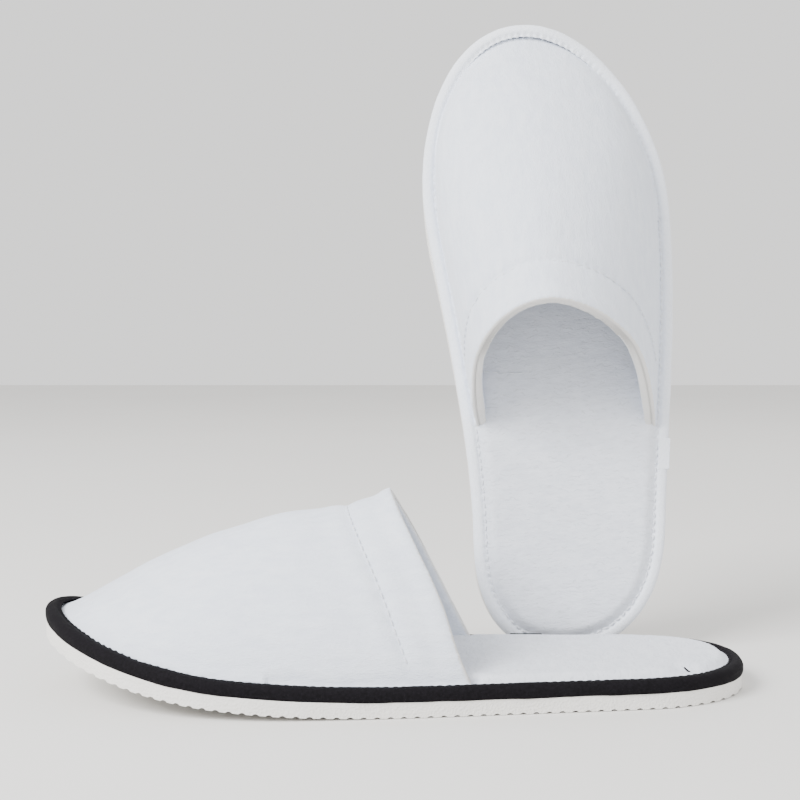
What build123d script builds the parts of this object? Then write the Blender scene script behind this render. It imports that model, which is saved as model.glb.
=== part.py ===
"""A pair of closed-toe spa slippers: the left one lies flat and the right one stands on its heel
behind it, leaning back. Millimetres, +Z up, origin at the bottom centre of the pair's box.

Each slipper is built once, as a right-foot slipper in its own frame, with the heel at x = 0,
the toe along +X, the foot's inner side along +Y and the floor at z = 0. The left-foot slipper
is its mirror image.
"""
from build123d import *
from math import asin, cos, pi, radians, sin, sqrt
import os

# ---------------------------------------------------------------- driving dimensions
# Plan outline of the sole
sole_length = 285.0
heel_half_width = 42.7
ball_half_width = 57.0
waist_from_heel = 36.0  # where the sole starts to widen
ball_from_toe = 63.0  # where it is widest
heel_round = 53.0  # length of the rounded heel end
toe_round = 85.0  # length of the rounded toe end
heel_squareness = 2.25  # 2 is an ellipse, more is squarer
toe_squareness = 2.03
bow = 9.4  # how far the middle line curves to the outer side between heel and toe

# Toe spring: the sole is flat, then rises in two tangent arcs
spring_from_toe = 147.0
spring_radius = 700.0
tight_from_toe = 75.0
tight_radius = 290.0

# Foam outsole and its cross ribs
outsole_thickness = 6.0
rib_pitch = 5.0
rib_land = 2.4
notch_depth = 0.6

# Insole stack, and the tape that binds its edge
tape_thickness = 0.7
tape_width = 5.8
backing_thickness = 0.6
foam_edge = 1.0  # foam pressed thin inside the tape
foam_thickness = 3.6
cover_thickness = 1.0
cover_edge = 0.9
shell_margin = 0.5  # the upper's cloth margin caught by the tape
lining_margin = 0.4
sheet_gap = 0.4  # between the tape's inner edge and what rises beside it

# Upper
vamp_height = 59.0  # from insole to crown at the hem seam
collar_rise = 7.0  # how much higher the crown is at the opening
seam_to_opening = 17.5  # along the crown
opening_from_toe = 140.5  # crown of the opening to the end of the sole
opening_slant = 0.55  # the opening leans this much back for each mm down
crown_power = 1.6  # shape of the crown line from toe to seam
side_power = 1.8  # cross section: 2 is an ellipse
top_power = 1.9
side_bulge = 2.0  # how far the sides belly out over the tape
crown_shift = 12.0  # how far the crown at the seam stands over to the inner side
shell_thickness = 1.2
padding_thickness = 1.8
lining_thickness = 0.7
nose = 1.2  # length of the blunt start behind the tape at the toe
arch_spans = 10  # spans of each cross section's curve
section_shares = (0.15, 0.42, 0.7, 0.88, 0.96)  # its cross sections, from seam to toe
leg_length = 6.0  # how far each cross section runs on below the insole
past_opening = 12.0  # and the upper beyond its opening, before both are cut
zone_clearance = 0.6  # room round the upper's foot in the insole

# Thread
thread_width = 0.6
thread_height = 0.35
thread_inset = 0.9  # from the tape's inner edge out to its seam line
tail_length = 3.0
tail_from_heel = 27.0

# Lapped end of the tape
lap_length = 14.0
lap_from_heel = 78.0

# How the pair is set out
lean = 12.8  # the standing slipper's lean from upright, degrees
sideways_tilt = 3.8
heel_to_heel = 61.6  # its heel along the lying slipper, from that one's heel end
pair_gap = 2.5  # clear space between the lying slipper and the standing one's heel

# ---------------------------------------------------------------- heights of the layers
tape_bottom = outsole_thickness
slot_bottom = tape_bottom + tape_thickness
backing_edge_top = slot_bottom + backing_thickness
foam_edge_top = backing_edge_top + foam_edge
lining_margin_bottom = foam_edge_top + cover_edge
shell_margin_bottom = lining_margin_bottom + lining_margin
slot_top = shell_margin_bottom + shell_margin
tape_top = slot_top + tape_thickness
foam_top = tape_bottom + backing_thickness + foam_thickness
insole_top = foam_top + cover_thickness
rim_inset = tape_width + sheet_gap  # where the upper's outer face comes down
thread_from_edge = tape_width - thread_inset
wall = shell_thickness + padding_thickness + lining_thickness

outline_spans = 6  # on each side of the sole, each drawn as two tangent arcs
reach = 20.0  # how far cutting shapes run past the sole
middle = sole_length / 2
opening_x = sole_length - opening_from_toe
seam_x = opening_x + seam_to_opening
spring_start = sole_length - spring_from_toe
tight_start = sole_length - tight_from_toe
spring_angle = asin((tight_start - spring_start) / spring_radius)
tight_x = spring_start + (spring_radius - tight_radius) * sin(spring_angle)
tight_z = spring_radius - (spring_radius - tight_radius) * cos(spring_angle)


# ---------------------------------------------------------------- plan outline
def smooth(t):
    t = min(max(t, 0.0), 1.0)
    return t * t * (3 - 2 * t)


def end_cap(run, length, squareness):
    """1 away from a rounded end, falling to 0 at its tip."""
    t = min(max(1 - run / length, 0.0), 1.0)
    return max(0.0, 1 - t**squareness) ** (1 / squareness)


def half_width(x):
    widening = smooth((x - waist_from_heel) / (sole_length - ball_from_toe - waist_from_heel))
    width = heel_half_width + (ball_half_width - heel_half_width) * widening
    heel = end_cap(x, heel_round, heel_squareness)
    toe = end_cap(sole_length - x, toe_round, toe_squareness)
    return width * heel * toe


def centre_line(x):
    return bow * (((x - middle) / middle) ** 2 - 0.5)


def edge_point(turn, inset=0.0):
    """A point of the outline moved inwards, and the direction of the outline there. turn runs
    from 0 at the heel to pi at the toe along the inner side and back along the outer side."""

    def raw(angle):
        x = middle * (1 - cos(angle))
        side = 1 if sin(angle) >= 0 else -1
        return Vector(x, centre_line(x) + side * half_width(x))

    step = 0.02
    along = (raw(turn + step) - raw(turn - step)).normalized()
    return raw(turn) + Vector(along.Y, -along.X) * inset, along


def edge_y(x, inset, side):
    """Where the inset outline crosses station x, on the inner side (1) or the outer side (-1)."""
    low, high = 0.0, pi
    for _ in range(40):
        turn = (low + high) / 2
        if edge_point(side * turn, inset)[0].X < x:
            low = turn
        else:
            high = turn
    return edge_point(side * low, inset)[0].Y


def arc_nodes():
    """Points and directions where the outline's arcs meet, all round the sole. Between each two
    stations of the outline lies one more, where two arcs join smoothly."""
    count = 2 * outline_spans
    ends = [edge_point(2 * pi * k / count) for k in range(count)]
    nodes = []
    for (p, along_p), (q, along_q) in zip(ends, ends[1:] + ends[:1]):
        chord = q - p
        total = along_p + along_q
        spread = 2 * (1 - along_p.dot(along_q))
        lean_in = chord.dot(total)
        reach_out = (sqrt(lean_in**2 + spread * chord.dot(chord)) - lean_in) / spread
        joint = (p + q + (along_p - along_q) * reach_out) * 0.5
        half = joint - p
        along = half * (2 * half.dot(along_p) / half.dot(half)) - along_p
        nodes += [(p, along_p), (joint, along)]
    return nodes


def prism(inset=0.0):
    """Everything above and below the outline, moved inwards by inset."""
    down = Vector(0, 0, -reach)
    nodes = [(p + Vector(a.Y, -a.X) * inset + down, a) for p, a in arc_nodes()]
    arcs = [
        Edge.make_tangent_arc(p, along, q)
        for (p, along), (q, _) in zip(nodes, nodes[1:] + nodes[:1])
    ]
    return extrude(Face(Wire(arcs)), amount=4 * reach + vamp_height, dir=(0, 0, 1))


# ---------------------------------------------------------------- the sprung sole line
def sole_point(run, height):
    """A point at a height above the sole's underside, run mm along it from the heel."""
    gentle = spring_radius * spring_angle
    if run <= spring_start:
        return Vector(run, 0, height)
    if run <= spring_start + gentle:
        angle = (run - spring_start) / spring_radius
        radius = spring_radius - height
        return Vector(spring_start + radius * sin(angle), 0, spring_radius - radius * cos(angle))
    angle = spring_angle + (run - spring_start - gentle) / tight_radius
    radius = tight_radius - height
    return Vector(tight_x + radius * sin(angle), 0, tight_z - radius * cos(angle))


def lift(x):
    """Height of the sole's underside above the floor at station x."""
    if x <= spring_start:
        return 0.0
    if x <= tight_start:
        return spring_radius - sqrt(spring_radius**2 - (x - spring_start) ** 2)
    return tight_z - sqrt(tight_radius**2 - (x - tight_x) ** 2)


spring_end = spring_start + spring_radius * spring_angle
toe_end = spring_end + tight_radius * (asin((sole_length - tight_x) / tight_radius) - spring_angle)


def rail(height):
    """The sole line at a height, as edges from behind the heel to past the toe."""
    stops = [-reach, spring_start, spring_end, toe_end + reach]
    first = Edge.make_line(sole_point(stops[0], height), sole_point(stops[1], height))
    arcs = [
        Edge.make_three_point_arc(
            sole_point(a, height), sole_point((a + b) / 2, height), sole_point(b, height)
        )
        for a, b in zip(stops[1:], stops[2:])
    ]
    return [first, *arcs]


def tread_rail():
    """The underside line with its ribs: flat lands with a rounded notch between each two."""
    edges = []
    count = int((toe_end + 2 * reach) / rib_pitch)
    for k in range(count):
        start = -reach + k * rib_pitch
        land_end = start + rib_land
        notch_middle = (land_end + start + rib_pitch) / 2
        edges.append(Edge.make_line(sole_point(start, 0), sole_point(land_end, 0)))
        edges.append(
            Edge.make_three_point_arc(
                sole_point(land_end, 0),
                sole_point(notch_middle, notch_depth),
                sole_point(start + rib_pitch, 0),
            )
        )
    return edges


def slab_between(lower, upper):
    """A wide curved slab whose side view lies between two rails."""
    closing = [
        Edge.make_line(lower[-1] @ 1, upper[-1] @ 1),
        Edge.make_line(lower[0] @ 0, upper[0] @ 0),
    ]
    face = Face(Wire([*lower, *upper, *closing]))
    return extrude(face, amount=2 * ball_half_width, dir=(0, 1, 0), both=True)


def slab(low, high):
    return slab_between(rail(low), rail(high))


# ---------------------------------------------------------------- the upper's domes
def crown_height(x):
    """Height of the crown above the insole at station x."""
    toe = sole_length - rim_inset
    if x >= seam_x:
        share = (toe - x) / (toe - seam_x)
        return vamp_height * (1 - (1 - share) ** crown_power)
    return vamp_height + collar_rise * (seam_x - x) / seam_to_opening


def crown_slant(x):
    """How far the cross section leans back for each mm down: all of it from the seam on,
    none at the toe."""
    return opening_slant * min(1.0, (sole_length - x) / (sole_length - seam_x))


def section_frame(x, depth=0.0):
    """Base point, unit direction up the section and its height, for the section whose crown is
    at station x, with the crown brought down by depth."""
    crown = Vector(x, 0, lift(x) + insole_top + crown_height(x) - depth)
    base_x = x - crown_slant(x) * (crown_height(x) - depth)
    base = Vector(base_x, 0, lift(base_x) + lining_margin_bottom)
    up = crown - base
    return base, up.normalized(), up.length


def arch_wire(x, inset):
    """One cross section of the upper, inset from its outer face, with legs that run on below
    the insole."""
    base, up, height = section_frame(x, inset)
    inner = edge_y(base.X, rim_inset + inset, 1)
    outer = edge_y(base.X, rim_inset + inset, -1)
    centre, half = (inner + outer) / 2, (inner - outer) / 2
    bulge = side_bulge * min(1.0, height / vamp_height)
    shift = crown_shift * min(1.0, height / vamp_height)
    points = []
    for k in range(arch_spans + 1):
        angle = pi * k / arch_spans
        side = 1 if cos(angle) >= 0 else -1
        across = side * abs(cos(angle)) ** (2 / side_power)
        rise = abs(sin(angle)) ** (2 / top_power)
        y = centre + half * across + bulge * sin(2 * angle) + shift * rise
        points.append(base + up * (height * rise) + Vector(0, y, 0))
    legs = [points[0] - up * leg_length, points[-1] - up * leg_length]
    return Wire(
        [
            Edge.make_spline(points),
            Edge.make_line(points[-1], legs[1]),
            Edge.make_line(legs[1], legs[0]),
            Edge.make_line(legs[0], points[0]),
        ]
    )


def dome(inset=0.0):
    """The solid inside one face of the upper, from the toe to past the opening."""
    first = sole_length - rim_inset - inset - nose
    between = [seam_x + (first - seam_x) * share for share in section_shares]
    stations = [opening_x - past_opening, opening_x, seam_x, *between, first]
    return Solid.make_loft([arch_wire(x, inset) for x in stations])


def section_plane(x, ahead=0.0):
    """The plane of the cross section at station x, moved towards the toe, facing the toe."""
    base, up, _ = section_frame(x)
    facing = Vector(0, 1, 0).cross(up)
    return Plane(origin=base + facing * ahead, x_dir=(0, 1, 0), z_dir=facing)


def toe_side(shape, plane):
    return split(shape, bisect_by=plane, keep=Keep.TOP)


def heel_side(shape, plane):
    return split(shape, bisect_by=plane, keep=Keep.BOTTOM)


# ---------------------------------------------------------------- the pieces
def outsole():
    return slab_between(tread_rail(), rail(outsole_thickness)) & prism()


def backing():
    plate = slab(tape_bottom, slot_bottom) & prism(tape_width + sheet_gap)
    margin = slab(slot_bottom, backing_edge_top) & prism(tape_thickness)
    return plate + margin


def foam_pad():
    return slab(backing_edge_top, foam_top) & prism(rim_inset + cover_thickness)


def upper_zone():
    """The room the upper's layers take out of the insole, from the opening to the toe."""
    inside = prism(rim_inset + wall + shell_thickness + zone_clearance)
    toe_cut = sole_length - rim_inset - nose - wall - 2 * zone_clearance
    pad = inside & (Pos(toe_cut - sole_length, 0, 0) * Box(2 * sole_length, sole_length, 4 * reach))
    ring = (slab(lining_margin_bottom, insole_top + reach) & prism()) - pad
    return toe_side(ring, section_plane(opening_x))


def insole_foam():
    margin = slab(backing_edge_top, foam_edge_top) & prism(tape_thickness)
    return margin + foam_pad()


def insole_cover():
    margin = slab(foam_edge_top, slot_top) & prism(tape_thickness)
    top = slab(foam_edge_top, insole_top) & prism(rim_inset)
    return margin + top - foam_pad()


def binding():
    outside = slab(tape_bottom, tape_top) & prism()
    slot = slab(slot_bottom, slot_top) & prism(tape_thickness)
    inside = prism(tape_width)
    return outside - slot - inside


def binding_thread():
    outer = prism(thread_from_edge)
    inner = prism(thread_from_edge + thread_width)
    return (slab(tape_top, tape_top + thread_height) & outer) - inner


def binding_lap(side):
    """The free end of the tape, lapped over its start on one side of the sole."""
    folded = slab(tape_bottom + sheet_gap, tape_top + tape_thickness) & prism(-tape_thickness)
    kept = folded - (slab(0, tape_top) & prism()) - prism(thread_from_edge - sheet_gap)
    centre = (lap_from_heel + lap_length / 2, side * ball_half_width, tape_top)
    return kept & (Pos(*centre) * Box(lap_length, 2 * heel_half_width, 4 * tape_top))


def thread_tail():
    """A cut thread end that stands on the insole beside the tape on the outer side."""
    x = tail_from_heel
    y = edge_y(x, rim_inset + thread_width, -1)
    start = Vector(x, y + thread_width, insole_top)
    bend = start + Vector(tail_length / 3, tail_length / 4, tail_length / 5)
    end = bend + Vector(tail_length / 3, -tail_length / 10, tail_length / 3)
    path = Edge.make_spline([start, bend, end])
    profile = Plane(origin=start, z_dir=path % 0) * Circle(thread_height)
    tail = sweep(profile.face(), path=path)
    return tail - slab(0, insole_top)


def upper():
    """The upper's three layers. The outer cloth turns in over the opening's edge and runs back
    inside as far as the hem seam."""
    depths = [
        0.0,
        shell_thickness,
        shell_thickness + padding_thickness,
        wall,
        wall + shell_thickness,
    ]
    outer, under_shell, under_padding, under_lining, under_hem = [dome(d) for d in depths]
    opening = section_plane(opening_x)
    fold = section_plane(opening_x, shell_thickness)
    seam = section_plane(seam_x)
    below_shell = slab(-reach, shell_margin_bottom)
    below_lining = slab(-reach, lining_margin_bottom)

    margin_area = toe_side(prism(tape_thickness), opening)
    shell_band = slab(shell_margin_bottom, slot_top) & margin_area
    lining_band = slab(lining_margin_bottom, shell_margin_bottom) & margin_area

    skin = toe_side(outer - under_shell, opening)
    turned_edge = heel_side(toe_side(under_shell - under_hem, opening), fold)
    hem = heel_side(toe_side(under_lining - under_hem, opening), seam)
    shell = (skin + turned_edge + hem) - below_shell
    shell = shell + (shell_band - outer)
    padding = toe_side(under_shell - under_padding, fold) - below_shell
    lining = toe_side(under_padding - under_lining, fold) - below_shell
    lining = lining + (lining_band - under_lining)
    return shell, padding, lining, outer


def collar_thread(outer):
    """The row of stitching along the hem seam, lying on the outer cloth."""
    raised = dome(-thread_height) - outer
    strip = toe_side(raised, section_plane(seam_x))
    strip = heel_side(strip, section_plane(seam_x, thread_width))
    return strip - slab(-reach, tape_top + thread_height)


def slipper():
    shell, padding, lining, outer = upper()
    zone = upper_zone()
    return {
        "outsole": outsole(),
        "insole_backing": backing(),
        "insole_foam": insole_foam() - zone,
        "insole_cover": insole_cover() - zone,
        "edge_binding": binding(),
        "binding_thread": binding_thread(),
        "upper_shell": shell,
        "upper_padding": padding,
        "upper_lining": lining,
        "collar_thread": collar_thread(outer),
    }


# ---------------------------------------------------------------- the pair
def lying(shape):
    """The left-foot slipper, flat on the floor with its toe along -X and its heel at x = 0."""
    return mirror(shape, about=Plane.YZ)


def standing(shape):
    """The right-foot slipper, on its heel with its insole towards -Y, leaning back."""
    upright = Plane(origin=(0, 0, 0), x_dir=(0, 0, 1), z_dir=(0, -1, 0)).location * shape
    tilted = Rot(0, -sideways_tilt, 0) * upright
    return Rot(-lean, 0, 0) * tilted


def solids_of(shape):
    """A node's solids as one shape, without the wrapping that a boolean leaves."""
    found = shape.solids()
    return found[0] if len(found) == 1 else Compound(found)


def main():
    pieces = slipper()
    first = {f"front_{name}": lying(shape) for name, shape in pieces.items()}
    first["front_binding_lap"] = lying(binding_lap(1))
    first["front_thread_tail"] = lying(thread_tail())
    second = {f"rear_{name}": standing(shape) for name, shape in pieces.items()}
    second["rear_binding_lap"] = standing(binding_lap(-1))

    beside = [edge_y(heel_to_heel + k * heel_half_width / 4, 0, 1) for k in range(-4, 5)]
    foot = second["rear_outsole"].bounding_box()
    raised = tape_top + thread_height
    back = max(beside) + pair_gap + raised * cos(radians(lean))
    place = Pos(-heel_to_heel, back, -foot.min.Z)
    pair = {**first, **{name: place * shape for name, shape in second.items()}}

    box = Compound([solids_of(shape) for shape in pair.values()]).bounding_box()
    centre = Pos(-(box.min.X + box.max.X) / 2, -(box.min.Y + box.max.Y) / 2, -box.min.Z)
    os.makedirs("parts", exist_ok=True)
    for name, shape in pair.items():
        export_step(solids_of(centre * shape), f"parts/{name}.step")


main()
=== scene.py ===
# %% [markdown]
# # A pair of spa slippers
# This lesson dresses a finished CAD model of two spa slippers: one lies flat, the other stands
# on its heel behind it. The CAD model gives every piece its place. Here the soft pieces get
# their real cloth shapes, stitches and finishes.

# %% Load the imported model
import math

import bpy
import numpy as np
from mathutils import Matrix, Vector
from mathutils.bvhtree import BVHTree


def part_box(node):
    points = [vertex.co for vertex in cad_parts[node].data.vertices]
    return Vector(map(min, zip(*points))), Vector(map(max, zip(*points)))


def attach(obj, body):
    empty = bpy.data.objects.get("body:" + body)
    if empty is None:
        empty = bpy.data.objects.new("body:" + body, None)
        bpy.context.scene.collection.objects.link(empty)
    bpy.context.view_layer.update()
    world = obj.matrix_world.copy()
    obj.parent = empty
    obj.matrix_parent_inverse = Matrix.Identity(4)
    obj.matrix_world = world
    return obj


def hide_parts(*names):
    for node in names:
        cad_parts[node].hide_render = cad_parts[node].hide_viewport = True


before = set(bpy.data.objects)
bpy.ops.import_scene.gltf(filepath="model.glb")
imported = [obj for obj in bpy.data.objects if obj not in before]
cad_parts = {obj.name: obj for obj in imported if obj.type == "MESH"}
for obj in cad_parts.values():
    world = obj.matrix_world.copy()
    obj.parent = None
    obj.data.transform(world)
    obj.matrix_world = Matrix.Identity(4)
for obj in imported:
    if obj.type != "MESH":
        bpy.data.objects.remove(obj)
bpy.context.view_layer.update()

MM = 0.001


# %% [markdown]
# Loading leaves every CAD piece selected, and an operator acts on all that is selected. A small
# helper clears the selection and picks exactly the pieces the next step works on.

# %% Selection helper
def pick(*pieces):
    """Selects only these pieces and makes the first one active."""
    if bpy.context.mode != "OBJECT":
        bpy.ops.object.mode_set(mode="OBJECT")
    bpy.ops.object.select_all(action="DESELECT")
    for piece in pieces:
        piece.select_set(True)
    bpy.context.view_layer.objects.active = pieces[0]


# %% [markdown]
# The camera stands low, a little above the lying slipper's instep, and looks slightly down. A
# long lens keeps both soles close to their true proportions.

# %% Camera
camera_data = bpy.data.cameras.new("view")
camera_data.lens = 66.5
camera_data.sensor_width = 36.0
camera_data.clip_start = 0.01
camera = bpy.data.objects.new("view", camera_data)
bpy.context.collection.objects.link(camera)
camera.location = (0.0023, -0.6209, 0.1465)
camera.rotation_euler = (math.radians(90 - 2.9), 0, 0)
bpy.context.scene.camera = camera

# %% [markdown]
# Both slippers share one outline, drawn here for a right foot with its heel at zero and its toe
# along +X. The outline is wide at the ball, narrow at the waist, and its middle line bows. The
# sole is flat under the heel and rises in two gentle arcs towards the toe. Tape, stitches and
# cloth all follow this line, so it is worked out once.

# %% The sole's outline and its rise towards the toe
sole_length = 285 * MM
heel_half_width, ball_half_width = 42.7 * MM, 57 * MM
waist, ball = 36 * MM, 222 * MM
heel_round, toe_round = 53 * MM, 85 * MM
heel_squareness, toe_squareness = 2.25, 2.03
bow = 9.4 * MM
spring_start, spring_radius = 138 * MM, 700 * MM
tight_start, tight_radius = 210 * MM, 290 * MM
tape_bottom, tape_top = 6 * MM, 10.8 * MM
insole_top = 11.2 * MM

middle = sole_length / 2
spring_angle = math.asin((tight_start - spring_start) / spring_radius)
tight_x = spring_start + (spring_radius - tight_radius) * math.sin(spring_angle)
tight_z = spring_radius - (spring_radius - tight_radius) * math.cos(spring_angle)


def end_cap(run, length, squareness):
    t = min(max(1 - run / length, 0.0), 1.0)
    return max(0.0, 1 - t**squareness) ** (1 / squareness)


def half_width(x):
    t = min(max((x - waist) / (ball - waist), 0.0), 1.0)
    width = heel_half_width + (ball_half_width - heel_half_width) * t * t * (3 - 2 * t)
    heel = end_cap(x, heel_round, heel_squareness)
    toe = end_cap(sole_length - x, toe_round, toe_squareness)
    return width * heel * toe


def centre_line(x):
    return bow * (((x - middle) / middle) ** 2 - 0.5)


def sole_height(x, above):
    """Height at station x of the layer that lies this far above the sole's underside."""
    if x <= spring_start:
        return above
    if x <= spring_start + (spring_radius - above) * math.sin(spring_angle):
        radius = spring_radius - above
        return spring_radius - math.sqrt(radius**2 - (x - spring_start) ** 2)
    radius = tight_radius - above
    return tight_z - math.sqrt(radius**2 - (x - tight_x) ** 2)


def outline(turn, inset=0.0, above=0.0):
    """A point of the outline. turn runs from 0 at the heel, by the inner side, to pi at the
    toe, and back along the outer side."""

    def raw(angle):
        x = middle * (1 - math.cos(angle))
        side = 1 if math.sin(angle) >= 0 else -1
        return x, centre_line(x) + side * half_width(x)

    step = 0.02
    (x0, y0), (x1, y1) = raw(turn - step), raw(turn + step)
    run = math.hypot(x1 - x0, y1 - y0)
    x, y = raw(turn)
    x, y = x + inset * (y1 - y0) / run, y - inset * (x1 - x0) / run
    return Vector((x, y, sole_height(x, above)))


# %% [markdown]
# The left slipper is the mirror image of the right one, laid flat. The right one is stood on its
# heel, then tipped sideways and leaned back. The turned outline has to fill the box of the CAD
# tape, and that gives the last unknown, how far to shift it.

# %% Where each slipper goes
lean, sideways_tilt = math.radians(12.8), math.radians(3.8)
upright = Matrix(((0, -1, 0), (0, 0, -1), (1, 0, 0)))
tilted = Matrix.Rotation(-lean, 3, "X") @ Matrix.Rotation(-sideways_tilt, 3, "Y")
turned = {"front": Matrix(((-1, 0, 0), (0, 1, 0), (0, 0, 1))), "rear": tilted @ upright}
ring_stops = 720
place = {}
for side, matrix in turned.items():
    ring = [
        matrix @ outline(2 * math.pi * k / ring_stops, 0, above)
        for k in range(ring_stops)
        for above in (tape_bottom, tape_top)
    ]
    low = Vector([min(p[axis] for p in ring) for axis in range(3)])
    shift = Vector(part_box(side + "_edge_binding")[0]) - low
    place[side] = Matrix.Translation(shift) @ matrix.to_4x4()
    print(side, "slipper's heel is at", [round(v, 4) for v in place[side].translation])


def in_slipper(points, side):
    """World points seen in the slipper's own frame, heel at zero and toe along +X."""
    back = np.array(place[side].inverted())
    return points @ back[:3, :3].T + back[:3, 3]


def points_of(piece):
    """The piece's points in the room, one row each."""
    found = np.empty(len(piece.data.vertices) * 3)
    piece.data.vertices.foreach_get("co", found)
    return found.reshape(-1, 3)


def put_back(piece, side, local):
    """Sets a placed piece's points from their places in the slipper's own frame."""
    forward = np.array(place[side])
    world = local @ forward[:3, :3].T + forward[:3, 3]
    piece.data.vertices.foreach_set("co", world.astype(np.float32).ravel())
    piece.data.update()


long_side = (20 * MM, 262 * MM)  # from heel end to toe end of the sole's long sides
tape_wall = 1.3 * MM


def keep_in_tape(piece, side):
    """Brings margins that lie in the tape back inside it, on both long sides of the sole."""
    local = in_slipper(points_of(piece), side)
    for index, (x, y, z) in enumerate(local):
        on_side = long_side[0] < x < long_side[1]
        if on_side and z < sole_height(x, tape_top) + 0.1 * MM:
            room = half_width(x) - tape_wall
            out = y - centre_line(x)
            local[index, 1] = centre_line(x) + min(max(out, -room), room)
    put_back(piece, side, local)


def settle(piece, side):
    """Moves a piece made in the slipper's own frame to its place, and applies the move."""
    pick(piece)
    piece.matrix_world = place[side] @ piece.matrix_world
    bpy.ops.object.transform_apply(location=True, rotation=True, scale=True)
    bpy.ops.object.mode_set(mode="EDIT")
    bpy.ops.mesh.select_all(action="SELECT")
    bpy.ops.mesh.remove_doubles(threshold=0.00001)
    bpy.ops.mesh.normals_make_consistent(inside=False)
    bpy.ops.object.mode_set(mode="OBJECT")


def remember_foot(piece, side):
    """Stores each vertex's place in the slipper's own frame, for cloth patterns to follow."""
    local = in_slipper(points_of(piece), side)
    layer = piece.data.attributes.new("foot", "FLOAT_VECTOR", "POINT")
    layer.data.foreach_set("vector", local.astype(np.float32).ravel())


def finish_piece(piece, side, slot, *nodes):
    """Ties a finished piece to its slipper and hides the CAD nodes it stands for. The slot is not
    used.
    """
    remember_foot(piece, side)
    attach(piece, side + "_slipper")
    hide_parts(*nodes)
    print(piece.name, len(piece.data.polygons), "faces")


# %% [markdown]
# ## Finishes
# Cloth is never one flat colour: fibres catch light in clumps, and the surface has grain at two
# sizes. One node group makes that grain, and every cloth uses it with its own numbers. It gives
# out a height for the bump and a mask that tints the colour.

# %% Node helpers
def new_material(name):
    made = bpy.data.materials.new(name)
    made.use_nodes = True
    return made, made.node_tree.nodes, made.node_tree.links


def add(nodes, kind, **values):
    """Adds a node and sets its named inputs and properties."""
    node = nodes.new(kind)
    for name, value in values.items():
        label = name.replace("_", " ")
        if label in node.inputs:
            node.inputs[label].default_value = value
        else:
            setattr(node, name, value)
    return node


# %% The cloth grain group
grain = bpy.data.node_groups.new("cloth grain", "ShaderNodeTree")
for name, kind in (("Vector", "NodeSocketVector"), ("Fibre", "NodeSocketFloat")):
    grain.interface.new_socket(name=name, in_out="INPUT", socket_type=kind)
grain.interface.new_socket(name="Clump", in_out="INPUT", socket_type="NodeSocketFloat")
grain.interface.new_socket(name="Stretch", in_out="INPUT", socket_type="NodeSocketVector")
grain.interface.new_socket(name="Height", in_out="OUTPUT", socket_type="NodeSocketFloat")
grain.interface.new_socket(name="Mask", in_out="OUTPUT", socket_type="NodeSocketFloat")
nodes, links = grain.nodes, grain.links
given = nodes.new("NodeGroupInput")
out = nodes.new("NodeGroupOutput")
stretched = add(nodes, "ShaderNodeVectorMath", operation="MULTIPLY")
links.new(given.outputs["Vector"], stretched.inputs[0])
links.new(given.outputs["Stretch"], stretched.inputs[1])
fibres = add(nodes, "ShaderNodeTexNoise", Detail=4.0, Roughness=0.65)
clumps = add(nodes, "ShaderNodeTexNoise", Detail=3.0, Roughness=0.6)
for texture, scale in ((fibres, "Fibre"), (clumps, "Clump")):
    links.new(stretched.outputs[0], texture.inputs["Vector"])
    links.new(given.outputs[scale], texture.inputs["Scale"])
both = add(nodes, "ShaderNodeMath", operation="MULTIPLY_ADD")
both.inputs[1].default_value = 0.6
links.new(fibres.outputs[0], both.inputs[0])
links.new(clumps.outputs[0], both.inputs[2])
links.new(both.outputs[0], out.inputs["Height"])
tint = add(nodes, "ShaderNodeMapRange")
tint.inputs["From Min"].default_value = 0.35
tint.inputs["From Max"].default_value = 0.65
links.new(clumps.outputs[0], tint.inputs[0])
links.new(tint.outputs[0], out.inputs["Mask"])


# %% [markdown]
# A cloth finish reads the place stored on each piece, so its grain follows the foot and not the
# room. Sheen gives the pale bloom of short fibres at grazing angles.

# %% A cloth finish
def cloth(name, light, dark, fibre, clump, stretch, depth, rough, sheen):
    made, nodes, links = new_material(name)
    shader = nodes["Principled BSDF"]
    shader.inputs["Sheen Weight"].default_value = sheen
    shader.inputs["Sheen Roughness"].default_value = 0.5
    shader.inputs["Specular IOR Level"].default_value = 0.25
    where = add(nodes, "ShaderNodeAttribute", attribute_name="foot")
    fibre_group = add(nodes, "ShaderNodeGroup", node_tree=grain)
    fibre_group.inputs["Fibre"].default_value = fibre
    fibre_group.inputs["Clump"].default_value = clump
    fibre_group.inputs["Stretch"].default_value = stretch
    links.new(where.outputs["Vector"], fibre_group.inputs["Vector"])
    colour = add(nodes, "ShaderNodeMix", data_type="RGBA")
    colour.inputs[6].default_value = (*dark, 1)
    colour.inputs[7].default_value = (*light, 1)
    links.new(fibre_group.outputs["Mask"], colour.inputs[0])
    links.new(colour.outputs[2], shader.inputs["Base Color"])
    gloss = add(nodes, "ShaderNodeMapRange")
    gloss.inputs["To Min"].default_value = rough - 0.08
    gloss.inputs["To Max"].default_value = min(rough + 0.08, 1.0)
    links.new(fibre_group.outputs["Mask"], gloss.inputs[0])
    links.new(gloss.outputs[0], shader.inputs["Roughness"])
    bump = add(nodes, "ShaderNodeBump", Strength=1.0, Distance=depth)
    links.new(fibre_group.outputs["Height"], bump.inputs["Height"])
    links.new(bump.outputs[0], shader.inputs["Normal"])
    return made


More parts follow.
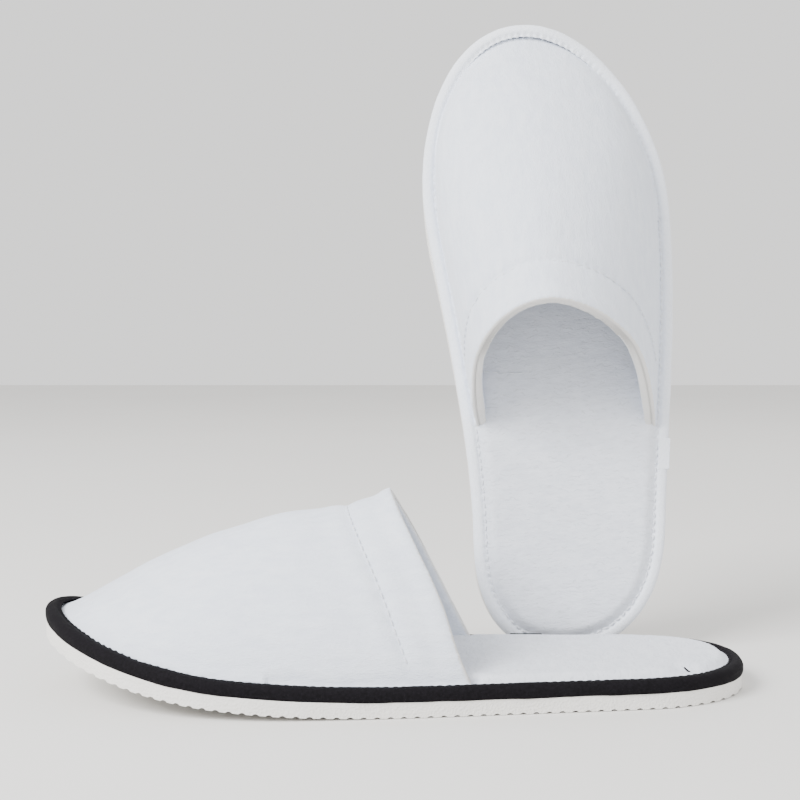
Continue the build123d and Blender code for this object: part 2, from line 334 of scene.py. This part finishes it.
# %% The pair's cloths
upper_cloth = cloth(
    "brushed cloth", (0.82, 0.87, 0.96), (0.76, 0.81, 0.915),
    2200, 260, (0.35, 1, 1), 0.0006, 0.9, 0.3,
)
# The lining is a darker grey than the outer cloth: painted shade for the inside of the upper.
lining_with_painted_shade = cloth(
    "lining cloth with painted shade", (0.76, 0.76, 0.77), (0.68, 0.68, 0.69),
    2200, 600, (1, 1, 1), 0.0004, 0.9, 0.2,
)
insole_cloth = cloth(
    "insole knit", (0.77, 0.80, 0.87), (0.70, 0.73, 0.80),
    2000, 420, (1, 0.35, 1), 0.00035, 0.92, 0.15,
)


# %% [markdown]
# The upper's cut edge shows the warm grey of the foam, and a groove runs where the two layers
# meet, tinted dark as painted shade. Two masks stored on the piece say where, and they tint the
# outer cloth's colour.

# %% The upper's cut edge
nodes, links = upper_cloth.node_tree.nodes, upper_cloth.node_tree.links
shader = nodes["Principled BSDF"]
colour = shader.inputs["Base Color"].links[0].from_socket
# The second tint is painted shade in the groove between the layers.
for mask, tint in (("cut_edge", (0.78, 0.765, 0.745)), ("layer_groove_shade", (0.50, 0.485, 0.465))):
    stored = add(nodes, "ShaderNodeAttribute", attribute_name=mask)
    mixed = add(nodes, "ShaderNodeMix", data_type="RGBA")
    links.new(stored.outputs["Fac"], mixed.inputs[0])
    links.new(colour, mixed.inputs[6])
    mixed.inputs[7].default_value = (*tint, 1)
    colour = mixed.outputs[2]
links.new(colour, shader.inputs["Base Color"])

# %% [markdown]
# The insole's knit shows short wavy marks that run across the foot. Distorted bands make the
# waves, and a noise keeps them in short broken pieces.

# %% The insole's knit marks
nodes, links = insole_cloth.node_tree.nodes, insole_cloth.node_tree.links
shader = nodes["Principled BSDF"]
bump = shader.inputs["Normal"].links[0].from_node
where = add(nodes, "ShaderNodeAttribute", attribute_name="foot")
waves = add(nodes, "ShaderNodeTexWave", Scale=140.0, Distortion=9.0, Detail=3.0)
waves.bands_direction = "X"
waves.inputs["Detail Scale"].default_value = 1.6
patches = add(nodes, "ShaderNodeTexNoise", Scale=330.0, Detail=2.0)
thin = add(nodes, "ShaderNodeMapRange")
thin.inputs["From Min"].default_value = 0.80
thin.inputs["From Max"].default_value = 1.0
broken = add(nodes, "ShaderNodeMapRange")
broken.inputs["From Min"].default_value = 0.48
broken.inputs["From Max"].default_value = 0.60
marks = add(nodes, "ShaderNodeMath", operation="MULTIPLY")
links.new(where.outputs["Vector"], waves.inputs["Vector"])
links.new(where.outputs["Vector"], patches.inputs["Vector"])
links.new(waves.outputs["Fac"], thin.inputs[0])
links.new(patches.outputs[0], broken.inputs[0])
links.new(thin.outputs[0], marks.inputs[0])
links.new(broken.outputs[0], marks.inputs[1])
marked = add(nodes, "ShaderNodeMix", data_type="RGBA")
links.new(marks.outputs[0], marked.inputs[0])
links.new(shader.inputs["Base Color"].links[0].from_socket, marked.inputs[6])
marked.inputs[7].default_value = (0.65, 0.68, 0.74, 1)
links.new(marked.outputs[2], shader.inputs["Base Color"])
sunk = add(nodes, "ShaderNodeMath", operation="MULTIPLY_ADD")
sunk.inputs[1].default_value = -0.2
links.new(marks.outputs[0], sunk.inputs[0])
links.new(bump.inputs["Height"].links[0].from_socket, sunk.inputs[2])
links.new(sunk.outputs[0], bump.inputs["Height"])

# %% Tape and thread finishes
black_tape = cloth(
    "black tape", (0.0085, 0.0075, 0.0095), (0.004, 0.0035, 0.0045),
    3200, 900, (1, 1, 1), 0.0003, 0.8, 0.0,
)
white_tape = cloth(
    "white tape", (0.90, 0.935, 1.0), (0.84, 0.88, 0.96),
    3200, 900, (1, 1, 1), 0.0003, 0.8, 0.25,
)
black_thread = cloth(
    "black thread", (0.016, 0.015, 0.018), (0.008, 0.0075, 0.009),
    5000, 2500, (1, 1, 1), 0.0001, 0.6, 0.0,
)
white_thread = cloth(
    "white thread", (0.82, 0.84, 0.88), (0.70, 0.73, 0.79),
    5000, 2500, (1, 1, 1), 0.0001, 0.65, 0.1,
)
for dark_cloth in (black_tape, black_thread):
    dark_cloth.node_tree.nodes["Principled BSDF"].inputs["Specular IOR Level"].default_value = 0.08
tape_finish = {"front": black_tape, "rear": white_tape}
thread_finish = {"front": black_thread, "rear": white_thread}


# %% [markdown]
# The outsole is a closed-cell foam: chalky, faintly speckled with cells, a little darker where
# cells are open. It stays as the CAD made it, ribs and all, so its finish reads object
# coordinates.

# %% Foam, board and CAD thread finishes
def plain_finish(name, light, dark, cell, depth, rough):
    made, nodes, links = new_material(name)
    shader = nodes["Principled BSDF"]
    shader.inputs["Specular IOR Level"].default_value = 0.3
    where = add(nodes, "ShaderNodeTexCoord")
    cells = add(nodes, "ShaderNodeTexVoronoi", Scale=cell)
    cloudy = add(nodes, "ShaderNodeTexNoise", Scale=cell * 0.12, Detail=4.0)
    for texture in (cells, cloudy):
        links.new(where.outputs["Object"], texture.inputs["Vector"])
    colour = add(nodes, "ShaderNodeMix", data_type="RGBA")
    colour.inputs[6].default_value = (*dark, 1)
    colour.inputs[7].default_value = (*light, 1)
    links.new(cloudy.outputs[0], colour.inputs[0])
    links.new(colour.outputs[2], shader.inputs["Base Color"])
    gloss = add(nodes, "ShaderNodeMapRange")
    gloss.inputs["To Min"].default_value = rough - 0.1
    gloss.inputs["To Max"].default_value = rough + 0.1
    links.new(cells.outputs[0], gloss.inputs[0])
    links.new(gloss.outputs[0], shader.inputs["Roughness"])
    bump = add(nodes, "ShaderNodeBump", Strength=0.8, Distance=depth)
    links.new(cells.outputs[0], bump.inputs["Height"])
    links.new(bump.outputs[0], shader.inputs["Normal"])
    return made


outsole_foam = plain_finish(
    "outsole foam", (0.84, 0.825, 0.795), (0.77, 0.75, 0.715), 1100, 0.0003, 0.72
)
board = plain_finish("fibre board", (0.60, 0.55, 0.47), (0.50, 0.45, 0.38), 900, 0.0002, 0.85)
tail_thread = plain_finish(
    "cut thread", (0.030, 0.028, 0.032), (0.012, 0.011, 0.014), 4000, 0.0001, 0.7
)
kept = {
    "front_outsole": outsole_foam,
    "rear_outsole": outsole_foam,
    "front_insole_backing": board,
    "rear_insole_backing": board,
    "front_thread_tail": tail_thread,
}
for node, finish in kept.items():
    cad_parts[node].data.materials.clear()
    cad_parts[node].data.materials.append(finish)

# %% [markdown]
# ## Edge tape
# A strip of tape is folded over the edge of the insole and sewn down, so it is rounded outside,
# slightly puffed on top, and pinched where the stitches pull. A closed curve follows the
# outline, and a small closed profile is swept along it. A circle of curve points is subdivided
# and its points are moved to the outline.


# %% A closed curve along the sole
def closed_curve(name, places, resolution):
    """A smooth closed curve through these places, whose number is a multiple of four."""
    bpy.ops.object.select_all(action="DESELECT")
    bpy.ops.curve.primitive_bezier_circle_add()
    curve = bpy.context.object
    curve.name = name
    bpy.ops.object.mode_set(mode="EDIT")
    bpy.ops.curve.select_all(action="SELECT")
    bpy.ops.curve.subdivide(number_cuts=len(places) // 4 - 1)
    bpy.ops.curve.handle_type_set(type="AUTOMATIC")
    bpy.ops.object.mode_set(mode="OBJECT")
    spline = curve.data.splines[0]
    for point, spot in zip(spline.bezier_points, places):
        point.co = spot
    curve.data.resolution_u = resolution
    curve.data.twist_mode = "Z_UP"
    return curve


def rim_curve(name, inset, above, stops=96, resolution=6):
    turns = [2 * math.pi * (k + 0.5) / stops for k in range(stops)]
    return closed_curve(name, [outline(turn, inset, above) for turn in turns], resolution)


# %% The tape's profile
# Corners of the folded tape in mm: from the outline inwards, and up from the sole's underside
tape_profile = [
    (0.6, 5.9), (0.05, 6.5), (-0.15, 8.0), (0.0, 9.6), (0.8, 10.75), (2.1, 11.3),
    (3.5, 11.35), (4.7, 11.0), (5.5, 10.9), (6.1, 10.65), (6.2, 9.9), (3.0, 8.4),
]
stitch_inset = 5.35 * MM


def make_tape(side):
    """The folded tape as a closed roll, in the slipper's own frame."""
    path = rim_curve(side + " rim", 0, tape_bottom)
    corners = [Vector((x, z - tape_bottom / MM, 0)) * MM for x, z in tape_profile]
    profile = closed_curve(side + " profile", corners, 3)
    path.data.bevel_mode = "OBJECT"
    path.data.bevel_object = profile
    pick(path)
    bpy.ops.object.convert(target="MESH")
    tape = bpy.context.object
    bpy.data.objects.remove(profile)
    tape.name = side + "_tape"
    return tape


tapes = {side: make_tape(side) for side in ("front", "rear")}

# %% [markdown]
# Each stitch pulls the tape down, so the stitch line is a row of small dimples and the outer
# roll puffs between them. A vertex group holds how much each point is pulled, and a Displace
# modifier does the pulling.


# %% Pucker helper
def pull(piece, name, weights, distance, texture=None):
    """Moves the piece's surface along its normals, as much as the weights say."""
    group = piece.vertex_groups.new(name=name)
    for index in np.nonzero(weights > 0.01)[0]:
        group.add([int(index)], float(weights[index]), "REPLACE")
    push = piece.modifiers.new(name, "DISPLACE")
    push.vertex_group = name
    push.direction = "NORMAL"
    push.mid_level = 0.5 if texture else 0.0
    push.strength = distance
    if texture:
        push.texture = texture
        push.texture_coords = "LOCAL"
    pick(piece)
    bpy.ops.object.modifier_apply(modifier=name)
    piece.vertex_groups.clear()


def soft_noise(name, size):
    made = bpy.data.textures.new(name, "CLOUDS")
    made.noise_scale = size
    made.noise_depth = 2
    return made


rumple = soft_noise("rumple", 0.012)
swell = soft_noise("swell", 0.045)

rim_stops = 1440
rim_turns = np.linspace(0, 2 * math.pi, rim_stops, endpoint=False)
rim_line = np.array([outline(turn)[:2] for turn in rim_turns])
rim_steps = np.linalg.norm(np.roll(rim_line, -1, 0) - rim_line, axis=1)
rim_run = np.concatenate([[0], np.cumsum(rim_steps)[:-1]])
print("the tape is", round(rim_steps.sum() * 1000), "mm long")


def edge_distance(local):
    """How far each point lies from the outline in plan, and how far along the outline."""
    away = np.empty(len(local))
    along = np.empty(len(local))
    batch = 2000
    for start in range(0, len(local), batch):
        part = local[start : start + batch, :2]
        gaps = np.linalg.norm(part[:, None, :] - rim_line[None], axis=2)
        nearest = gaps.argmin(1)
        away[start : start + batch] = gaps.min(1)
        along[start : start + batch] = rim_run[nearest]
    return away, along


# %% Place and pucker the tapes
stitch_pitch = 3.4 * MM
stitch_reach = 1.0 * MM  # how far round its line a stitch pulls the tape
pinch = {"front": -0.6 * MM, "rear": -0.95 * MM}
for side, tape in tapes.items():
    settle(tape, side)
    local = in_slipper(points_of(tape), side)
    inset, along = edge_distance(local)
    scallop = 0.5 - 0.5 * np.cos(2 * math.pi * along / stitch_pitch)
    upper_face = local[:, 2] > 9 * MM
    near = np.exp(-(((inset - stitch_inset) / stitch_reach) ** 2)) * upper_face
    pull(tape, "scallop", near * scallop, pinch[side])
    pull(tape, "rumple", np.ones(len(local)), 0.5 * MM, rumple)
    pick(tape)
    bpy.ops.object.shade_smooth()
    tape.data.materials.append(tape_finish[side])
    slot = "black_tape" if side == "front" else "white_tape"
    finish_piece(tape, side, slot, side + "_edge_binding")

# %% [markdown]
# ## Stitches
# One stitch is a short round-ended roll of thread. It is modelled once, two together tipped
# opposite ways as a sewing machine lays them, then repeated and bent round the sole.


# %% One pair of stitches, then a whole row
def stitch_row(name, path, pitch, length, width, height, tip):
    """Stitches all along a closed path, as one piece."""
    pick(path)
    total = sum(spline.calc_length() for spline in path.data.splines)
    pairs = round(total / (2 * pitch))
    step = total / (2 * pairs)
    halves = []
    for k, way in enumerate((1, -1)):
        bpy.ops.mesh.primitive_uv_sphere_add(segments=10, ring_count=8, radius=0.5)
        one = bpy.context.object
        bpy.ops.transform.resize(value=(length, width, height))
        bpy.ops.object.transform_apply(location=False, rotation=False, scale=True)
        one.location = ((k + 0.5) * step, 0, 0)
        one.rotation_euler = (0, 0, way * tip)
        halves.append(one)
    pick(*halves)
    bpy.ops.object.transform_apply(location=True, rotation=True, scale=True)
    bpy.ops.object.join()
    row = bpy.context.object
    row.name = name
    repeat = row.modifiers.new("repeat", "ARRAY")
    repeat.count = pairs
    repeat.use_relative_offset = False
    repeat.use_constant_offset = True
    repeat.constant_offset_displace = (2 * step, 0, 0)
    bend = row.modifiers.new("bend", "CURVE")
    bend.object = path
    bend.deform_axis = "POS_X"
    pick(row)
    bpy.ops.object.modifier_apply(modifier="repeat")
    bpy.ops.object.modifier_apply(modifier="bend")
    bpy.data.objects.remove(path)
    bpy.ops.object.shade_smooth()
    print(name, 2 * pairs, "stitches", round(step * 1000, 2), "mm apart")
    return row


stitch_rise = {"front": -0.1 * MM, "rear": 0.15 * MM}
for side in ("front", "rear"):
    path = rim_curve(side + " stitch line", stitch_inset, tape_top + stitch_rise[side])
    row = stitch_row(
        side + "_tape_stitches", path, stitch_pitch, 2.5 * MM, 0.75 * MM, 0.6 * MM, 0.2
    )
    settle(row, side)
    row.data.materials.append(thread_finish[side])
    slot = "black_thread" if side == "front" else "white_thread"
    finish_piece(row, side, slot, side + "_binding_thread")

# %% [markdown]
# ## Soft pads from their CAD solids
# The insole and the upper are foam and cloth sewn together, so their edges are round and their
# faces swell. The CAD solids of one pad are copied and joined, and a voxel remesh melts them
# into one even skin, which is then smoothed.


# %% Melt CAD solids into one pad
def melt(name, nodes, voxel, rounds):
    """One smooth skin round copies of these CAD nodes."""
    copies = []
    for node in nodes:
        copy = bpy.data.objects.new(name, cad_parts[node].data.copy())
        bpy.context.collection.objects.link(copy)
        copies.append(copy)
    pick(*copies)
    if len(copies) > 1:
        bpy.ops.object.join()
    pad = bpy.context.view_layer.objects.active
    pad.data.materials.clear()
    bpy.ops.object.mode_set(mode="EDIT")
    bpy.ops.mesh.select_all(action="SELECT")
    bpy.ops.mesh.remove_doubles(threshold=0.00002)
    bpy.ops.object.mode_set(mode="OBJECT")
    skin = pad.modifiers.new("skin", "REMESH")
    skin.mode = "VOXEL"
    skin.voxel_size = voxel
    skin.use_smooth_shade = True
    soften = pad.modifiers.new("soften", "SMOOTH")
    soften.factor = 0.5
    soften.iterations = rounds
    bpy.ops.object.modifier_apply(modifier="skin")
    bpy.ops.object.modifier_apply(modifier="soften")
    bpy.ops.object.shade_smooth()
    return pad


# %% [markdown]
# The insole's foam swells up inside the tape, except round the cut thread end.

# %% Insoles
plump_start, plump_run = 6 * MM, 4 * MM  # from the outline inwards
plump_height = 2.1 * MM
face_start, face_run = 9.5 * MM, 1 * MM
tail_reach = 6 * MM
tail_corners = np.array(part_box("front_thread_tail"))
tail_place = in_slipper(tail_corners, "front").mean(0)
for side in ("front", "rear"):
    pad = melt(side + "_insole", [side + "_insole_foam", side + "_insole_cover"], 1.3 * MM, 3)
    local = in_slipper(points_of(pad), side)
    inset, _ = edge_distance(local)
    inner = np.clip((inset - plump_start) / plump_run, 0, 1)
    face_up = np.clip((local[:, 2] - face_start) / face_run, 0, 1)
    if side == "front":
        away = np.linalg.norm(local[:, :2] - tail_place[:2], axis=1)
        inner *= 1 - np.exp(-((away / tail_reach) ** 2))
    pull(pad, "plump", inner * inner * (3 - 2 * inner) * face_up, plump_height)
    pull(pad, "rumple", np.ones(len(pad.data.vertices)), 0.6 * MM, swell)
    keep_in_tape(pad, side)
    pad.data.materials.append(insole_cloth)
    finish_piece(pad, side, "insole_cloth", side + "_insole_foam", side + "_insole_cover")

# %% [markdown]
# ## Uppers
# The upper is outer cloth, thin foam and lining in one. A row of stitches holds the turned-in
# hem: it pulls a groove round the instep, and the cloth swells on both sides. The CAD thread
# shows where that seam lies.
#
# At the toe the CAD arch starts a little behind the tape. The cloth's foot is eased outwards
# there, a different amount every two millimetres along the tape, until it meets the tape.

# %% Close the upper's foot against the tape
eased_from = 190 * MM  # only the toe part of the foot
lowest, highest = -1.2 * MM, 6 * MM  # above the tape
bin_length = 2 * MM
meeting_inset = 5.4 * MM
skin_rise, skin_band = 0.5 * MM, 0.7 * MM  # where the outer skin is looked for, above the tape
most_eased = 4 * MM
eased_height, eased_depth = 5 * MM, 6 * MM


def meet_tape(upper, side):
    """Eases the foot of the upper outwards where it stands clear of the tape's inner edge."""
    local = in_slipper(points_of(upper), side)
    rise = local[:, 2] - np.array([sole_height(x, tape_top) for x in local[:, 0]])
    low_down = (rise > lowest) & (rise < highest)
    foot = np.nonzero(low_down & (local[:, 0] > eased_from))[0]
    inset, along = edge_distance(local[foot])
    bins = (along / bin_length).astype(int)
    low = np.full(bins.max() + 1, np.nan)
    skin = np.abs(rise[foot] - skin_rise) < skin_band
    for k in np.unique(bins[skin]):
        low[k] = inset[skin & (bins == k)].min()
    known = np.nonzero(~np.isnan(low))[0]
    low = np.interp(np.arange(len(low)), known, low[known])
    low = np.convolve(np.pad(low, 2, "edge"), np.ones(5) / 5, "valid")
    gap = np.clip(low - meeting_inset, 0, most_eased)
    print(side, "upper's foot eased outwards by up to", round(gap.max() * 1000, 2), "mm")
    upwards = 1 - np.clip((rise[foot] - skin_rise) / eased_height, 0, 1)
    behind_skin = 1 - np.clip((inset - low[bins]) / eased_depth, 0, 1)
    wall_only = inset > low[bins] - 0.5 * MM
    move = gap[bins] * upwards * upwards * behind_skin * wall_only
    nearest = rim_line[np.searchsorted(rim_run, along)]
    away = nearest - local[foot, :2]
    away /= np.linalg.norm(away, axis=1)[:, None] + 1e-9
    local[foot, :2] += away * move[:, None]
    put_back(upper, side, local)


# %% The seam
def seam_line(side):
    """The seam plane in the slipper's own frame, as x = offset + slant * z."""
    thread = in_slipper(points_of(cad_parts[side + "_collar_thread"]), side)
    slant, offset = np.polyfit(thread[:, 2], thread[:, 0], 1)
    return slant, offset


opening_shift = 21.4 * MM  # how far behind the seam the opening lies

# %% [markdown]
# Foam and cloth don't hold the plain arch. The vamp fills out between toe and seam, and the feet
# of the opening creep along the sole, a little differently on each slipper.

# %% How the soft upper settles
crown_places = np.array([-18, -8, 0, 12, 30, 58, 85, 105, 118]) * MM
crown_lifts = np.array([2.0, 2.5, 1.8, 1.5, 1.8, 4.0, 3.6, 1.8, 0.0]) * MM
creep = {"front": (0.0, 4.0 * MM), "rear": (-6.5 * MM, -12.0 * MM)}  # inner and outer foot
crown_start, crown_run = 2 * MM, 40 * MM  # above the insole
foot_height = 38 * MM
creep_start, creep_fade = -18 * MM, 38 * MM  # ahead of the seam
least_creep = 0.05 * MM


def relaxed(local, side, slant, offset):
    """Points of the upper moved from the CAD's arch to where the soft upper settles."""
    ahead = (local[:, 0] - offset - slant * local[:, 2]) / math.hypot(1, slant)
    height = local[:, 2] - insole_top
    moved = local.copy()
    full = np.clip((height - crown_start) / crown_run, 0, 1)
    moved[:, 2] += np.interp(ahead, crown_places, crown_lifts) * full
    low = np.clip(1 - height / foot_height, 0, 1)
    fade = np.exp(-((np.clip(ahead - creep_start, 0, None) / creep_fade) ** 2))
    middle_y = np.array([centre_line(x) for x in local[:, 0]])
    inner, outer = creep[side]
    feet = np.where(local[:, 1] > middle_y, inner, outer)
    moved[:, 0] += feet * low * low * (3 - 2 * low) * fade
    crept = np.nonzero(np.abs(moved[:, 0] - local[:, 0]) > least_creep)[0]
    for index in crept:
        old_x, new_x = local[index, 0], moved[index, 0]
        out = (local[index, 1] - centre_line(old_x)) / half_width(old_x)
        moved[index, 1] = centre_line(new_x) + out * half_width(new_x)
    return moved


def settle_upper(upper, side, slant, offset):
    put_back(upper, side, relaxed(in_slipper(points_of(upper), side), side, slant, offset))


# %% The opening's edge
def finer_lip(upper, side, slant, offset):
    """Cuts the faces near the opening in four, so that the edge's layers can be shaped."""
    pick(upper)
    bpy.ops.object.mode_set(mode="EDIT")
    bpy.ops.mesh.select_mode(type="FACE")
    bpy.ops.mesh.select_all(action="DESELECT")
    bpy.ops.object.mode_set(mode="OBJECT")
    mesh = upper.data
    centres = np.empty(len(mesh.polygons) * 3)
    mesh.polygons.foreach_get("center", centres)
    local = in_slipper(centres.reshape(-1, 3), side)
    behind = (local[:, 0] - offset - slant * local[:, 2] + opening_shift) / math.hypot(1, slant)
    mesh.polygons.foreach_set("select", behind < 2 * MM)
    bpy.ops.object.mode_set(mode="EDIT")
    bpy.ops.mesh.subdivide(number_cuts=1, smoothness=0.5)
    bpy.ops.object.mode_set(mode="OBJECT")


no_hit = 9 * MM


def lip_depth(local, behind, side):
    """How deep each point of the cut edge lies under the outer cloth. A ray is cast outwards
    through the wall, just behind its cut edge."""
    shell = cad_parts[side + "_upper_shell"]
    tree = BVHTree.FromObject(shell, bpy.context.evaluated_depsgraph_get())
    turn = place[side].to_3x3()
    depth = np.full(len(local), no_hit)
    for index in np.nonzero(behind < 1.5 * MM)[0]:
        x, y, z = local[index]
        start = place[side] @ Vector((x + 0.7 * MM - min(behind[index], 0), y, z))
        middle_y = centre_line(x) + 6 * MM
        outwards = turn @ Vector((0, y - middle_y, max(z - insole_top, 0) * 0.9))
        hit = tree.ray_cast(start, outwards.normalized(), 6 * MM)
        if hit[0] is not None:
            depth[index] = hit[3]
    return depth


edge_run, line_run = 1.5 * MM, 1.2 * MM  # how far the edge's tints reach in from the opening
line_depth, line_width = 1.7 * MM, 0.4 * MM


def dress_upper(upper, side, slant, offset):
    """Outer cloth outside, and beyond the hem inside a lining whose darker grey is painted shade.
    The opening's edge shows two layers with a groove between them, tinted dark as painted shade;
    the cut edge and the groove are kept as two attributes for the finish to read."""
    upper.data.materials.append(upper_cloth)
    # The inside faces get the lining, whose darker grey is painted shade.
    upper.data.materials.append(lining_with_painted_shade)
    mesh = upper.data
    local = in_slipper(points_of(upper), side)
    behind = (local[:, 0] - offset - slant * local[:, 2] + opening_shift) / math.hypot(1, slant)
    depth = lip_depth(local, behind, side)
    edge = np.clip(1 - behind / edge_run, 0, 1)
    # The groove between the layers: pulled in below, and tinted dark as painted shade through its
    # mask.
    between = np.exp(-(((depth - line_depth) / line_width) ** 2)) * (behind < line_run)
    pull(upper, "layers", between, -0.5 * MM)
    for name, values in (("cut_edge", edge * (depth < no_hit)), ("layer_groove_shade", between)):
        layer = mesh.attributes.new(name, "FLOAT", "POINT")
        layer.data.foreach_set("value", values.astype(np.float32))
    centres, normals = np.empty(len(mesh.polygons) * 3), np.empty(len(mesh.polygons) * 3)
    mesh.polygons.foreach_get("center", centres)
    mesh.polygons.foreach_get("normal", normals)
    local = in_slipper(centres.reshape(-1, 3), side)
    turned_normals = normals.reshape(-1, 3) @ np.array(place[side].to_3x3())
    ahead = (local[:, 0] - offset - slant * local[:, 2]) / math.hypot(1, slant)
    middle_y = np.array([centre_line(x) for x in local[:, 0]])
    inwards = np.stack([0 * ahead, middle_y - local[:, 1], insole_top + 8 * MM - local[:, 2]], 1)
    inside = (turned_normals * inwards).sum(1) > 0
    slots = np.where(inside & (ahead > -1 * MM), 1, 0).astype(np.int32)
    mesh.polygons.foreach_set("material_index", slots)
    print(side, "upper's cloths", np.bincount(slots))


# %% Uppers
hem_start, hem_run = 12 * MM, 8 * MM  # heights over which the swelling sets in
groove_width, groove_depth = 1.5 * MM, -0.7 * MM
pucker_pitch = 4 * MM
puff_place, puff_width, puff_height = 5 * MM, 3.5 * MM, 0.5 * MM
roll_place, roll_width, roll_height = 2.5 * MM, 3 * MM, 0.6 * MM
swell_height = 1.6 * MM
for side in ("front", "rear"):
    layers = [side + "_upper_shell", side + "_upper_padding", side + "_upper_lining"]
    upper = melt(side + "_upper", layers, 1.0 * MM, 4)
    meet_tape(upper, side)
    slant, offset = seam_line(side)
    finer_lip(upper, side, slant, offset)
    local = in_slipper(points_of(upper), side)
    ahead = (local[:, 0] - offset - slant * local[:, 2]) / math.hypot(1, slant)
    above = np.clip((local[:, 2] - hem_start) / hem_run, 0, 1)
    groove = np.exp(-((ahead / groove_width) ** 2)) * above
    puckers = 0.75 + 0.25 * np.cos(2 * math.pi * local[:, 1] / pucker_pitch)
    pull(upper, "groove", groove * puckers, groove_depth)
    puffs = np.exp(-(((np.abs(ahead) - puff_place) / puff_width) ** 2)) * above
    pull(upper, "puffs", puffs, puff_height)
    behind = ahead + opening_shift / math.hypot(1, slant)
    roll = np.exp(-(((behind - roll_place) / roll_width) ** 2)) * above
    pull(upper, "roll", roll, roll_height)
    pull(upper, "swell", above, swell_height, swell)
    dress_upper(upper, side, slant, offset)
    settle_upper(upper, side, slant, offset)
    keep_in_tape(upper, side)
    finish_piece(upper, side, "upper_cloth", *layers)

# %% [markdown]
# The hem's stitches follow the CAD thread. Its points are sorted round the instep and thinned to
# a few places, and short stitches are strung along them.


# %% Hem stitches
def hem_places(side, count):
    """Places along the CAD thread, from the inner side over the crown to the outer side."""
    thread = in_slipper(points_of(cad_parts[side + "_collar_thread"]), side)
    centre_y, base_z = thread[:, 1].mean(), insole_top
    angle = np.arctan2(thread[:, 2] - base_z, thread[:, 1] - centre_y)
    edges = np.linspace(angle.min(), angle.max(), count + 1)
    places = []
    for low, high in zip(edges, edges[1:]):
        inside = (angle >= low) & (angle <= high)
        if inside.any():
            places.append(thread[inside].mean(0))
    settled = relaxed(np.array(places), side, *seam_line(side))
    return [Vector(spot) for spot in settled]


def open_curve(name, places):
    """A smooth open curve from the first place to the last."""
    bpy.ops.object.select_all(action="DESELECT")
    bpy.ops.curve.primitive_nurbs_path_add()
    made = bpy.context.object
    made.name = name
    made.location = (0, 0, 0)
    made.data.splines.clear()
    spline = made.data.splines.new("NURBS")
    spline.points.add(len(places) - 1)
    for point, spot in zip(spline.points, places):
        point.co = (*spot, 1)
    spline.order_u = 3
    spline.use_endpoint_u = True
    made.data.twist_mode = "Z_UP"
    return made


for side in ("front", "rear"):
    places = hem_places(side, 36)
    path = open_curve(side + " hem line", places)
    row = stitch_row(
        side + "_hem_stitches", path, 3.8 * MM, 3.0 * MM, 0.6 * MM, 0.6 * MM, 0.05
    )
    settle(row, side)
    row.data.materials.append(white_thread)
    finish_piece(row, side, "white_thread", side + "_collar_thread")

# %% [markdown]
# The tape's free end is lapped over its start and shows as a small flap on the side.

# %% Lapped tape ends
for side in ("front", "rear"):
    lap = melt(side + "_tape_lap", [side + "_binding_lap"], 0.3 * MM, 2)
    lap.data.materials.append(tape_finish[side])
    slot = "black_tape" if side == "front" else "white_tape"
    finish_piece(lap, side, slot, side + "_binding_lap")

# %% [markdown]
# ## Floor and light
# A plain pale floor and three large soft lights. The key light comes from the upper left and the
# fill from the right, so the whites keep their shape.

# %% Floor
bpy.ops.object.select_all(action="DESELECT")
bpy.ops.mesh.primitive_plane_add(size=6, location=(0, 0, -0.0002))
floor = bpy.context.object
floor.name = "floor"
floor_finish, nodes, links = new_material("floor")
nodes["Principled BSDF"].inputs["Roughness"].default_value = 0.9
mottle = add(nodes, "ShaderNodeTexNoise", Scale=3.0, Detail=3.0)
where = add(nodes, "ShaderNodeTexCoord")
links.new(where.outputs["Object"], mottle.inputs["Vector"])
shade = add(nodes, "ShaderNodeMix", data_type="RGBA")
shade.inputs[6].default_value = (0.72, 0.71, 0.69, 1)
shade.inputs[7].default_value = (0.76, 0.75, 0.73, 1)
links.new(mottle.outputs[0], shade.inputs[0])
links.new(shade.outputs[2], nodes["Principled BSDF"].inputs["Base Color"])
floor.data.materials.append(floor_finish)


# %% Lights
def soft_light(name, spot, target, size, power):
    data = bpy.data.lights.new(name, "AREA")
    data.shape = "SQUARE"
    data.size = size
    data.energy = power
    lamp = bpy.data.objects.new(name, data)
    bpy.context.collection.objects.link(lamp)
    lamp.location = spot
    aim = Vector(target) - Vector(spot)
    lamp.rotation_euler = aim.to_track_quat("-Z", "Y").to_euler()


soft_light("key", (-1.1, -0.9, 1.2), (0, 0, 0.1), 0.9, 62)
soft_light("fill", (1.2, -0.9, 0.8), (0, 0, 0.1), 1.2, 6)
soft_light("back", (0.3, 1.3, 1.4), (0, 0, 0.1), 1.0, 5)
world = bpy.data.worlds.new("studio")
world.use_nodes = True
world.node_tree.nodes["Background"].inputs[0].default_value = (0.96, 0.955, 0.945, 1)
world.node_tree.nodes["Background"].inputs[1].default_value = 1.4
bpy.context.scene.world = world
